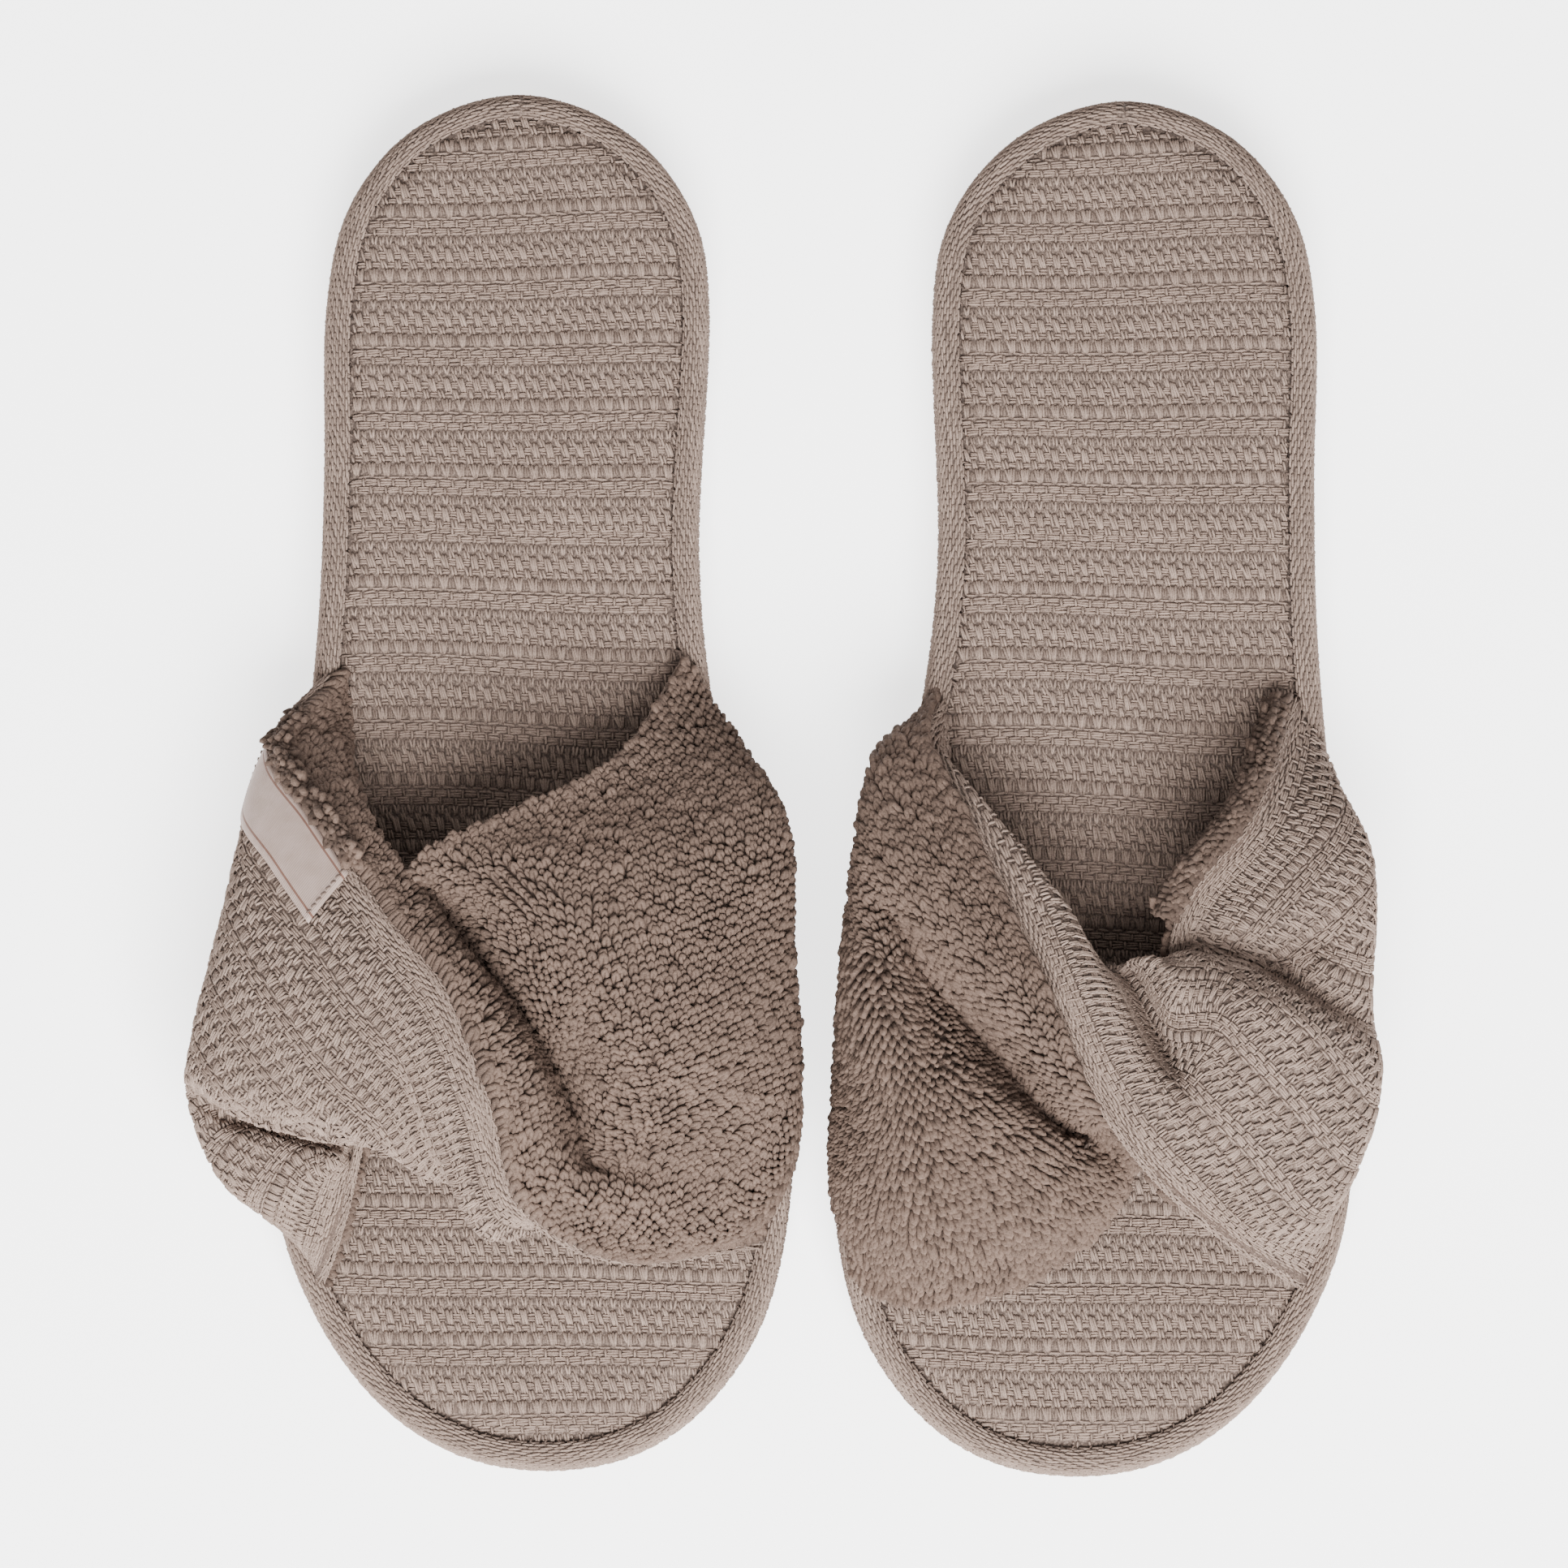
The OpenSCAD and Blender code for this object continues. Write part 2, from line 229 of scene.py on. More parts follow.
class Cloth:
    """A sheet of cloth in place: s is the distance along its stripes and t across them.

    reach, where given, is how far the cloth goes in t at each step of s."""

    def __init__(self, grid, length, width, outer, reach=None):
        self.grid = grid
        self.length = length
        self.width = width
        self.reach = reach
        self.steps = (length / (len(grid) - 1), width / (len(grid[0]) - 1))
        self.along_s = np.gradient(grid, self.steps[0], axis=0)
        self.along_t = np.gradient(grid, self.steps[1], axis=1)
        self.normal = outer * unit(np.cross(self.along_t, self.along_s))

    def at(self, s, t):
        """Point, two square directions and the outer normal of the cloth at s and t."""
        x = np.clip(s / self.steps[0], 0, len(self.grid) - 1.001)
        y = np.clip(t / self.steps[1], 0, len(self.grid[0]) - 1.001)
        i = x.astype(int)
        j = y.astype(int)
        fx = (x - i)[:, None]
        fy = (y - j)[:, None]

        def read(values):
            near = values[i, j] * (1 - fx) + values[i + 1, j] * fx
            far = values[i, j + 1] * (1 - fx) + values[i + 1, j + 1] * fx
            return near * (1 - fy) + far * fy

        across = limited(read(self.along_s))
        forward = unit(across)
        down = read(self.along_t)
        down = limited(down - (down * forward).sum(axis=-1, keepdims=True) * forward)
        return read(self.grid), across, down, unit(read(self.normal))

    def within(self, s, t):
        """Which places the cloth reaches."""
        steps = np.arange(len(self.reach)) * self.steps[0]
        return (t > 0) & (t < np.interp(s, steps, self.reach) + 0.8)

    def even_row(self, t, s_range, pitch, first):
        """Places in s, a true pitch apart on the cloth, along the row at t."""
        s = np.arange(s_range[0], s_range[1], 0.5)
        row = self.at(s, np.full(len(s), t))[0]
        running = running_length(row, 0)
        return np.interp(np.arange(first, running[-1], pitch), running, s)

    def offset(self, height):
        """The cloth's grid moved along its outer normal."""
        return self.grid + height * self.normal


def limited(vectors):
    """The vectors with their lengths kept near 1, so that yarns aren't stretched."""
    size = np.linalg.norm(vectors, axis=-1, keepdims=True) + 1e-9
    return vectors / size * np.clip(size, 0.85, 1.15)


BAND_ROWS = 181
BAND_COLUMNS = 121
# A fold shows less on the cloth under it, and runs out where the band comes down to the sole
FOLD_SHARE_BELOW = 0.85
FOLD_START_Z = 24
FOLD_FULL_Z = 32


def fold_depth(surface, points, depth, half_width):
    """How far a fold along plan points lowers each place of a surface; it runs out at both ends."""
    line = along(np.array(points, float), np.linspace(0, 1, 80))
    gap = np.linalg.norm(surface[..., None, :2] - line, axis=-1)
    nearest = gap.argmin(axis=-1)
    strength = np.sin(np.pi * np.linspace(0.03, 0.97, 80)) ** 0.5
    return depth * strength[nearest] * np.exp(-(gap.min(axis=-1) / half_width) ** 2)


def band_surface(name):
    """Dense grid over a band net, with its folds."""
    net = np.array(BAND_NETS[name], float).transpose(1, 0, 2)
    rows = along(net, np.linspace(0, 1, BAND_ROWS)).transpose(1, 0, 2)
    surface = along(rows, np.linspace(0, 1, BAND_COLUMNS)).transpose(1, 0, 2)
    slipper, cloth = name.split("_")
    partner = f"{slipper}_{'woven' if cloth == 'terry' else 'terry'}"
    drop = sum(fold_depth(surface, *fold) for fold in FOLDS[name])
    drop = drop + FOLD_SHARE_BELOW * sum(fold_depth(surface, *fold) for fold in FOLDS[partner])
    drop *= smoothstep((surface[..., 2] - FOLD_START_Z) / (FOLD_FULL_Z - FOLD_START_Z))
    surface[..., 2] -= drop
    return surface


def band_cloth(name):
    """The whole of a band's cloth, in even steps along it and across it."""
    surface = band_surface(name)
    widths = running_length(surface, 1)
    surface = resample(surface, widths, BAND_COLUMNS)
    lengths = running_length(surface, 0).mean(axis=1)
    rows = resample(surface.transpose(1, 0, 2), [lengths] * BAND_COLUMNS, int(lengths[-1]) + 1)
    return Cloth(rows.transpose(1, 0, 2), lengths[-1], widths[:, -1].mean(), OUTER[name])


def band_half(name, seam):
    """A band's cloth from one of its seams to the crease, with t measured from that seam."""
    whole = band_cloth(name)
    over = seam == "over"
    grid = whole.grid if over else whole.grid[:, ::-1]
    running = running_length(grid, 1)
    share = CREASE[name] if over else 1 - CREASE[name]
    reach = share * running[:, -1]
    wanted = np.arange(0, math.ceil(running[:, -1].max()) + 1)
    rows = [read_at(points, row_running, wanted) for points, row_running in zip(grid, running)]
    outer = OUTER[name] if over else -OUTER[name]
    return Cloth(np.array(rows), whole.length, wanted[-1], outer, reach)


# ---- meshes

def make_mesh(name, vertices, faces, uv, tone=None):
    """Mesh object from vertices in millimetres and faces of four corners.

    The first word of its name says which slipper's frame the vertices are in."""
    mesh = bpy.data.meshes.new(name)
    world = (np.asarray(vertices) + [SLIPPERS[name.split("_")[0]]["x"], 0, 0]) * MM
    mesh.vertices.add(len(world))
    mesh.vertices.foreach_set("co", world.astype(np.float32).ravel())
    corners = np.asarray(faces, np.int32).ravel()
    mesh.loops.add(len(corners))
    mesh.loops.foreach_set("vertex_index", corners)
    mesh.polygons.add(len(faces))
    mesh.polygons.foreach_set("loop_start", np.arange(0, len(corners), 4, dtype=np.int32))
    mesh.polygons.foreach_set("use_smooth", np.full(len(faces), True))
    layer = mesh.uv_layers.new(name="OFBake")
    layer.data.foreach_set("uv", np.asarray(uv, np.float32)[corners].ravel())
    if tone is not None:
        layer = mesh.attributes.new("tone", "FLOAT", "POINT")
        layer.data.foreach_set("value", np.asarray(tone, np.float32))
    mesh.update(calc_edges=True)
    obj = bpy.data.objects.new(name, mesh)
    bpy.context.scene.collection.objects.link(obj)
    return obj


def plate(name, outer, inner, closed=False):
    """Closed skin around two matching grids; closed joins the last row to the first."""
    rows, columns = outer.shape[:2]
    if closed:
        rows -= 1
        outer, inner = outer[:-1], inner[:-1]
    size = rows * columns
    vertices = np.concatenate([outer.reshape(-1, 3), inner.reshape(-1, 3)])
    i = np.arange(rows if closed else rows - 1)
    after = (i + 1) % rows
    j = np.arange(columns - 1)
    a = (i[:, None] * columns + j).ravel()
    b = (after[:, None] * columns + j).ravel()
    faces = [np.stack([a, b, b + 1, a + 1], 1), size + np.stack([a, a + 1, b + 1, b], 1)]
    low, low_next = i * columns, after * columns
    high, high_next = low + columns - 1, low_next + columns - 1
    faces.append(np.stack([low, low + size, low_next + size, low_next], 1))
    faces.append(np.stack([high, high_next, high_next + size, high + size], 1))
    if not closed:
        last = (rows - 1) * columns
        faces.append(np.stack([j, j + 1, j + 1 + size, j + size], 1))
        faces.append(np.stack([last + j, last + j + size, last + j + 1 + size, last + j + 1], 1))
    u, v = np.meshgrid(np.linspace(0, 1, rows), np.linspace(0, 1, columns), indexing="ij")
    uv = np.tile(np.stack([u, v], -1).reshape(-1, 2), (2, 1))
    obj = make_mesh(name, vertices, np.concatenate(faces), uv)
    turn_outwards(obj)
    return obj


def turn_outwards(obj):
    """Turns a closed mesh's faces outwards, by the sign of the volume that it holds."""
    mesh = obj.data
    mesh.calc_loop_triangles()
    corners = np.zeros(len(mesh.loop_triangles) * 3, np.int32)
    mesh.loop_triangles.foreach_get("vertices", corners)
    points = np.zeros(len(mesh.vertices) * 3, np.float32)
    mesh.vertices.foreach_get("co", points)
    a, b, c = points.reshape(-1, 3)[corners].reshape(-1, 3, 3).transpose(1, 0, 2)
    if np.einsum("ij,ij->i", a, np.cross(b, c)).sum() < 0:
        mesh.flip_normals()


# ---- yarns laid on cloth

def tube(path, radii, sides=4):
    """Vertices and faces of a closed tube of an even number of sides along a path of points."""
    path = np.array(path, float)
    direction = unit(np.gradient(path, axis=0))
    side = unit(np.cross(direction, [0.02, 0.03, 1.0]))
    up = np.cross(side, direction)
    angles = np.pi / 2 - 2 * np.pi * np.arange(sides) / sides
    rings = [p + r * (math.cos(angle) * a + math.sin(angle) * b)
             for p, r, a, b in zip(path, radii, side, up) for angle in angles]
    faces = []
    for ring in range(len(path) - 1):
        first = sides * ring
        for k in range(sides):
            after = (k + 1) % sides
            faces.append([first + k, first + after, first + sides + after, first + sides + k])
    end = sides * (len(path) - 1)
    for k in range(1, sides - 2, 2):
        faces.append([k + 2, k + 1, k, 0])
        faces.append([end, end + k, end + k + 1, end + k + 2])
    return np.array(rings), np.array(faces)


def strand(length, radius, arch):
    """One float of a woven yarn, along t: it comes up, lies on the cloth and goes down again."""
    half = length / 2
    low, high = -0.4 * arch, arch * 0.8
    path = [[0, -half, low], [0, -half * 0.62, high], [0, half * 0.62, high], [0, half, low]]
    return tube(path, [radius * 0.6, radius, radius, radius * 0.6])


def loop(reach=1.0):
    """One loop of terry: out of the cloth, leaning over along -t, and back, round a slit."""
    path = np.array([
        [-0.3, 0.4, -0.3], [-0.43, 0.1, 0.4], [-0.45, -0.5, 1.0], [-0.34, -1.15, 1.4], [0, -1.5, 1.45],
        [0.34, -1.15, 1.4], [0.45, -0.5, 1.0], [0.43, 0.1, 0.4], [0.3, 0.4, -0.3]])
    radii = [0.35, 0.45, 0.5, 0.5, 0.52, 0.5, 0.5, 0.45, 0.35]
    return tube(path * [1, reach, 1], radii, sides=6)


# Painted shade: how much darker a yarn is painted for each millimetre below its own top, standing in
# for the shade deep among the yarns
DEPTH_PAINTED_SHADE = 0.28


class Weave:
    """Gathers copies of small pieces laid on a cloth, and makes them one mesh."""

    def __init__(self, cloth):
        self.cloth = cloth
        self.parts = []
        self.vertex_count = 0

    def lay(self, piece, s, t, turn=0.0, scale=1.0, lift=0.0, tone=0.5, jitter=1.0, keep=None):
        """Lays a copy of the piece at each s and t; turn in radians, lift in millimetres."""
        points, faces = piece
        values = np.broadcast_arrays(s, t, turn, scale, lift, tone)
        s, t, turn, scale, lift, tone = (v if keep is None else v[keep] for v in values)
        count = len(s)
        if not count:
            return
        s = s + random.normal(0, 0.06 * jitter, count)
        t = t + random.normal(0, 0.06 * jitter, count)
        turn = turn + random.normal(0, 0.07 * jitter, count)
        scale = scale * (1 + random.normal(0, 0.05 * jitter, count))
        tone = tone + random.normal(0, 0.1 * jitter, count)
        cos, sin = np.cos(turn)[:, None], np.sin(turn)[:, None]
        x = (cos * points[:, 0] - sin * points[:, 1]) * scale[:, None]
        y = (sin * points[:, 0] + cos * points[:, 1]) * scale[:, None]
        z = points[:, 2] * scale[:, None] + lift[:, None]
        # Painted shade: the lower a vertex lies below the yarn's top, the darker it is coloured
        painted_shade = DEPTH_PAINTED_SHADE * (points[:, 2] - points[:, 2].max())
        place, across, down, normal = self.cloth.at(s, t)
        laid = (place[:, None] + x[..., None] * across[:, None] + y[..., None] * down[:, None]
                + z[..., None] * normal[:, None])
        uv = np.stack([(s[:, None] + x) / self.cloth.length,
                       (t[:, None] + y) / self.cloth.width], axis=-1)
        first = self.vertex_count + len(points) * np.arange(count)
        self.vertex_count += len(points) * count
        self.parts.append((
            laid.reshape(-1, 3), (first[:, None, None] + faces).reshape(-1, 4),
            np.clip(uv, 0, 1).reshape(-1, 2), (tone[:, None] + painted_shade).ravel()))

    def make(self, name, material, nodes=()):
        """One finished piece of everything laid so far."""
        parts = [np.concatenate(values) for values in zip(*self.parts)]
        return finish_piece(make_mesh(name, *parts), material, nodes)


# One repeat of the woven cloth, in millimetres along the stripes and across them
PITCH_S = 2.9
PITCH_T = 13.1


def cells(s_range, t_range, s_pitch, t_pitch, s_first=0.0, t_first=0.0):
    """Places of a repeat over a stretch of cloth."""
    s = np.arange(s_range[0] + s_first, s_range[1], s_pitch)
    t = np.arange(t_range[0] + t_first, t_range[1], t_pitch)
    s, t = np.meshgrid(s, t, indexing="ij")
    return s.ravel(), t.ravel()


def lay_stripes(weave, s_range, t_range, inside=None):
    """Lays the striped weave over a stretch of cloth; inside(s, t) says which places count."""
    quarter = math.pi / 2

    def place(piece, s_off, t_off, **how):
        t_low, t_high = t_range
        s, t = cells(s_range, (t_low - PITCH_T, t_high), PITCH_S, PITCH_T, s_off % PITCH_S, t_off)
        keep = (s < s_range[1]) & (t > t_low) & (t < t_high)
        if inside is not None:
            keep &= inside(s, t)
        weave.lay(piece, s, t, keep=keep, **how)

    half = PITCH_S / 2
    weft = strand(2.5, 0.28, 0.2)
    filler = strand(1.5, 0.28, 0.26)
    tie = strand(1.7, 0.24, 0.42)
    tooth = strand(2.0, 0.25, 0.42)
    short = strand(2.1, 0.27, 0.4)
    long = strand(3.3, 0.27, 0.46)
    bulb = strand(2.9, 0.28, 0.46)
    # Rib: two rows of weft blocks, half a block apart, with a warp yarn between two blocks
    for t, shift in ((0.1, 0), (1.6, half)):
        for k in range(3):
            place(weft, shift, t + 0.46 * k, turn=quarter - 0.05, tone=0.5)
        place(tie, shift + half, t + 0.5, turn=-0.1, tone=0.5)
    # Row of pairs of short warp yarns under the rib
    for side in (-1, 1):
        place(tooth, side * 0.3, 3.8, turn=0.16 * side - 0.1, tone=0.66)
        place(tooth, half + side * 0.25, 4.1, turn=0.1 * side - 0.15, lift=-0.12, tone=0.45)
    # Slanted floats in staggered rows, with weft between them
    for side in (-1, 1):
        place(short, half + side * 0.28, 5.3, turn=-0.32, tone=0.52)
        place(short, half + 0.4 + side * 0.28, 8.7, turn=-0.26, tone=0.58)
    for side in (-1, 0, 1):
        place(long, 0.1 + side * 0.42, 6.8, turn=-0.28, tone=0.6)
        place(filler, half + 0.1, 6.9 + 0.46 * side, turn=quarter, lift=-0.05, tone=0.46)
    for k in range(2):
        place(filler, 0.4, 8.6 + 0.46 * k, turn=quarter, lift=-0.05, tone=0.46)
    # Plump bundles drawn together at their lower ends, with deep yarns in the gaps between them,
    # painted dark for the shade in those gaps
    for offset, lean in ((-0.58, -0.17), (-0.2, -0.06), (0.2, 0.06), (0.58, 0.17)):
        place(bulb, offset, 10.9, turn=lean - 0.12, tone=0.5)
    for side in (-1, 1):
        place(short, half + 0.25 * side, 11.0, turn=-0.12, lift=-0.3, tone=0.22)
    place(weft, half, 12.5, turn=quarter, lift=-0.1, tone=0.45)


def lay_bricks(weave, s_range, t_range):
    """Lays plain rows of short weft yarns, which close-woven margins and the wrap show."""
    brick = strand(2.8, 0.28, 0.26)
    for row, t in enumerate(np.arange(t_range[0] + 0.3, t_range[1], 0.56)):
        s = np.arange(s_range[0] + 1.2 + 1.3 * (row % 2), s_range[1], 2.6)
        weave.lay(brick, s, t, turn=math.pi / 2 - 0.08, tone=0.5)


# ---- materials

class Shading:
    """A new material with its shader, and short ways to add the nodes that the materials share."""

    def __init__(self, name, roughness, specular):
        self.material = bpy.data.materials.new(name)
        self.material.use_nodes = True
        self.nodes = self.material.node_tree.nodes
        self.links = self.material.node_tree.links
        self.shader = self.nodes["Principled BSDF"]
        self.set_inputs(self.shader, {"Roughness": roughness, "Specular IOR Level": specular})
        self.place = self.nodes.new("ShaderNodeTexCoord").outputs["Object"]

    def set_inputs(self, node, values):
        """Sets a node's inputs."""
        for name, value in values.items():
            node.inputs[name].default_value = value

    def texture(self, kind, **values):
        """A texture node in object coordinates."""
        node = self.nodes.new(kind)
        self.set_inputs(node, values)
        self.links.new(self.place, node.inputs["Vector"])
        return node

    def maths(self, operation, *inputs):
        """A maths node's result; each input is a socket or a number."""
        node = self.nodes.new("ShaderNodeMath")
        node.operation = operation
        for socket, value in zip(node.inputs, inputs):
            if isinstance(value, (int, float)):
                socket.default_value = value
            else:
                self.links.new(value, socket)
        return node.outputs[0]

    def ramp(self, source, stops, interpolation="LINEAR"):
        """Colours at positions along a value."""
        node = self.nodes.new("ShaderNodeValToRGB")
        node.color_ramp.interpolation = interpolation
        elements = node.color_ramp.elements
        for number, (position, colour) in enumerate(stops):
            element = elements[number] if number < 2 else elements.new(position)
            element.position = position
            element.color = (*colour, 1)
        self.links.new(source, node.inputs["Fac"])
        return node.outputs["Color"]

    def colour(self, source):
        """Makes a socket the base colour."""
        self.links.new(source, self.shader.inputs["Base Color"])

    def bump(self, height, strength, distance, invert=False):
        """Makes a height the fine relief of the surface."""
        node = self.nodes.new("ShaderNodeBump")
        self.set_inputs(node, {"Strength": strength, "Distance": distance})
        node.invert = invert
        self.links.new(height, node.inputs["Height"])
        self.links.new(node.outputs["Normal"], self.shader.inputs["Normal"])


def yarn_material(name, dark, pale, roughness=0.88):
    """Cotton: a colour from each yarn's own tone, darkened by the shade painted on it below its top,
    with soft patches and fine fibres.
    """
    shading = Shading(name, roughness, 0.2)
    shading.set_inputs(shading.shader, {
        "Sheen Weight": 0.25, "Sheen Roughness": 0.5, "Sheen Tint": (*pale, 1)})
    tone = shading.nodes.new("ShaderNodeAttribute")
    tone.attribute_name = "tone"
    patches = shading.texture("ShaderNodeTexNoise", Scale=55, Detail=3).outputs["Fac"]
    fibres = shading.texture("ShaderNodeTexNoise", Scale=3000, Detail=2).outputs["Fac"]
    total = tone.outputs["Fac"]
    for source, share in ((patches, 0.25), (fibres, 1.5)):
        total = shading.maths("ADD", total, shading.maths("MULTIPLY_ADD", source, share, -share / 2))
    shading.colour(shading.ramp(total, [(0.0, dark), (1.0, pale)]))
    shading.bump(fibres, 0.35, 0.0002)
    return shading.material


def plain_material(name, dark, pale, roughness, scale, bump_depth):
    """Foam, rubber or a floor: two close colours mixed by noise, with a fine surface."""
    shading = Shading(name, roughness, 0.3)
    noise = shading.texture("ShaderNodeTexNoise", Scale=scale, Detail=4).outputs["Fac"]
    shading.colour(shading.ramp(noise, [(0.3, dark), (0.7, pale)]))
    shading.bump(noise, 0.5, bump_depth)
    return shading.material


def ground_material(name, dark, pale):
    """The body of a cloth, seen only in the gaps of its yarns: small pale knots on a dark ground, whose
    darkness is partly the cloth's own and partly painted shade for the deep gaps between the yarns.
    """
    shading = Shading(name, 0.95, 0.3)
    knots = shading.texture("ShaderNodeTexVoronoi", Scale=1900).outputs["Distance"]
    shading.colour(shading.ramp(knots, [(0.15, pale), (0.7, dark)]))
    shading.bump(knots, 0.5, 0.0003, invert=True)
    return shading.material


def ribbon_material(name, dark, pale, line):
    """Satin ribbon: fine ribs across it, and a thin darker line woven in along both long sides."""
    shading = Shading(name, 0.5, 0.3)
    place = shading.nodes.new("ShaderNodeUVMap")
    place.uv_map = "OFBake"
    split = shading.nodes.new("ShaderNodeSeparateXYZ")
    shading.links.new(place.outputs["UV"], split.inputs[0])
    ribs = shading.maths("SINE", shading.maths("MULTIPLY", split.outputs["X"], 560))
    shading.bump(ribs, 0.4, 0.0001)
    noise = shading.texture("ShaderNodeTexNoise", Scale=250, Detail=4).outputs["Fac"]
    plain = (1, 1, 1)
    tint = shading.nodes.new("ShaderNodeMix")
    tint.data_type = "RGBA"
    tint.blend_type = "MULTIPLY"
    tint.inputs["Factor"].default_value = 1
    shading.links.new(shading.ramp(noise, [(0.3, dark), (0.7, pale)]), tint.inputs[6])
    lines = shading.ramp(
        split.outputs["Y"],
        [(0.0, plain), (0.1, line), (0.135, plain), (0.865, line), (0.9, plain)], "CONSTANT")
    shading.links.new(lines, tint.inputs[7])
    shading.colour(tint.outputs[2])
    return shading.material


WOVEN = yarn_material("woven_yarn", (0.11, 0.077, 0.062), (0.31, 0.228, 0.186))
# The grounds' dark colours are partly painted shade, for the deep gaps between the yarns
WOVEN_GROUND = ground_material("woven_ground", (0.07, 0.05, 0.041), (0.19, 0.138, 0.112))
TERRY = yarn_material("terry_yarn", (0.06, 0.04, 0.031), (0.165, 0.111, 0.086))
TERRY_GROUND = ground_material("terry_ground", (0.07, 0.047, 0.037), (0.13, 0.088, 0.069))
THREAD = yarn_material("seam_thread", (0.025, 0.017, 0.014), (0.13, 0.092, 0.075), roughness=0.7)
FOAM = plain_material("foam", (0.45, 0.42, 0.39), (0.55, 0.52, 0.49), 0.9, 1200, 0.0003)
WADDING = plain_material("wadding", (0.13, 0.095, 0.078), (0.17, 0.125, 0.103), 0.95, 1200, 0.0003)
RUBBER = plain_material("outsole_rubber", (0.15, 0.12, 0.105), (0.2, 0.165, 0.145), 0.65, 500, 0.0002)
RIBBON = ribbon_material("label_ribbon", (0.3, 0.22, 0.185), (0.36, 0.27, 0.235), (0.45, 0.3, 0.25))


def finish_piece(obj, material, nodes=()):
    """Material and replaced CAD nodes of a piece."""
    obj.data.materials.append(material)
    if nodes:
        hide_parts(*nodes)
    return obj


# ---- soles

def sole_ring(slipper, distance):
    """Outline of a slipper's sole moved inwards, from the middle of the heel."""
    ring = inset(closed_curve(SOLE_POINTS, 14), distance)
    return ring * [SLIPPERS[slipper]["mirror"], 1]


def sole_span(slipper, distance, y):
    """Lowest and highest x inside the outline at each y."""
    ring = sole_ring(slipper, distance)
    ring = np.roll(ring, -ring[:, 1].argmax(), axis=0)
    bottom = ring[:, 1].argmin()
    one = ring[:bottom + 1][::-1]
    other = np.concatenate([ring[bottom:], ring[:1]])
    spans = np.stack([np.interp(y, side[:, 1], side[:, 0]) for side in (one, other)])
    return spans.min(axis=0), spans.max(axis=0)


def edge_distance(slipper, plan):
    """Distance from each point of a plan grid to the sole's outline."""
    ring = sole_ring(slipper, 0)
    return np.array([np.linalg.norm(row[:, None] - ring, axis=-1).min(axis=1) for row in plan])


# Distances of the grid's rows from the toe and from the heel, closer together at the very end
END_STEPS = np.array([0.0, 0.04, 0.16, 0.4, 0.8, 1.4, 2.2, 3.4, 5.0])


def sole_grid(slipper, distance, extra=()):
    """Plan grid over the sole moved inwards by a distance, in rows of one y each."""
    ring = sole_ring(slipper, distance)
    low, high = ring[:, 1].min(), ring[:, 1].max()
    middle = np.arange(low + 7, high - 6, 2.5)
    y = np.concatenate([low + END_STEPS, middle, high - END_STEPS, extra])
    y = np.unique(np.round(y, 3))
    left, right = sole_span(slipper, distance, y)
    share = 0.5 - 0.5 * np.cos(np.linspace(0, np.pi, 41))
    x = left[:, None] + (right - left)[:, None] * share
    return np.stack([x, np.broadcast_to(y[:, None], x.shape)], axis=-1)


GROOVE_START_Y = -110
GROOVE_END_Y = 118
GROOVE_PITCH = 11
GROOVE_WIDTH = 2.4
GROOVE_DEPTH = 1.0
# Half the share of the outsole's width that the grooves cross
GROOVE_HALF_SHARE = 0.4
CLOTH_THICKNESS = 0.7


def with_height(plan, z):
    """Plan grid with a height added."""
    return np.concatenate([plan, np.broadcast_to(z, plan.shape[:2])[..., None]], axis=-1)


def insole_height(slipper, plan):
    """Height of the insole's ground cloth: flat, and drawn down into the seam at its edge."""
    dip = 1.5 * (1 - smoothstep((edge_distance(slipper, plan) - SEAM_INSET) / 4.5))
    return SOLE_TOP - 0.3 - dip


def both_nodes(slipper, layer):
    """The two CAD nodes of a sole's layer."""
    return [f"{slipper}_{layer}_front", f"{slipper}_{layer}_heel"]


def sole_layer(slipper, layer, plan, top, bottom, material):
    """One layer of a sole between two heights over a plan grid, in place of its CAD nodes."""
    obj = plate(f"{slipper}_{layer}", with_height(plan, top), with_height(plan, bottom))
    return finish_piece(obj, material, both_nodes(slipper, layer))


def grooved_outsole(slipper):
    """The outsole, with shallow grooves cut across the middle of its tread."""
    starts = np.arange(GROOVE_START_Y, GROOVE_END_Y, GROOVE_PITCH)
    edges = starts[:, None] + [0, 0.3, GROOVE_WIDTH - 0.3, GROOVE_WIDTH]
    plan = sole_grid(slipper, 1.6, extra=edges.ravel())
    width = plan[:, -1:, 0] - plan[:, :1, 0]
    share = np.abs(plan[..., 0] - (plan[:, :1, 0] + width / 2)) / (width + 1e-6)
    phase = (plan[..., 1] - GROOVE_START_Y) % GROOVE_PITCH
    in_groove = (phase > 0.15) & (phase < GROOVE_WIDTH - 0.15) & (share < GROOVE_HALF_SHARE)
    groove = GROOVE_DEPTH * in_groove * (np.abs(plan[..., 1]) < GROOVE_END_Y)
    return sole_layer(slipper, "outsole", plan, RUBBER_TOP, groove, RUBBER)


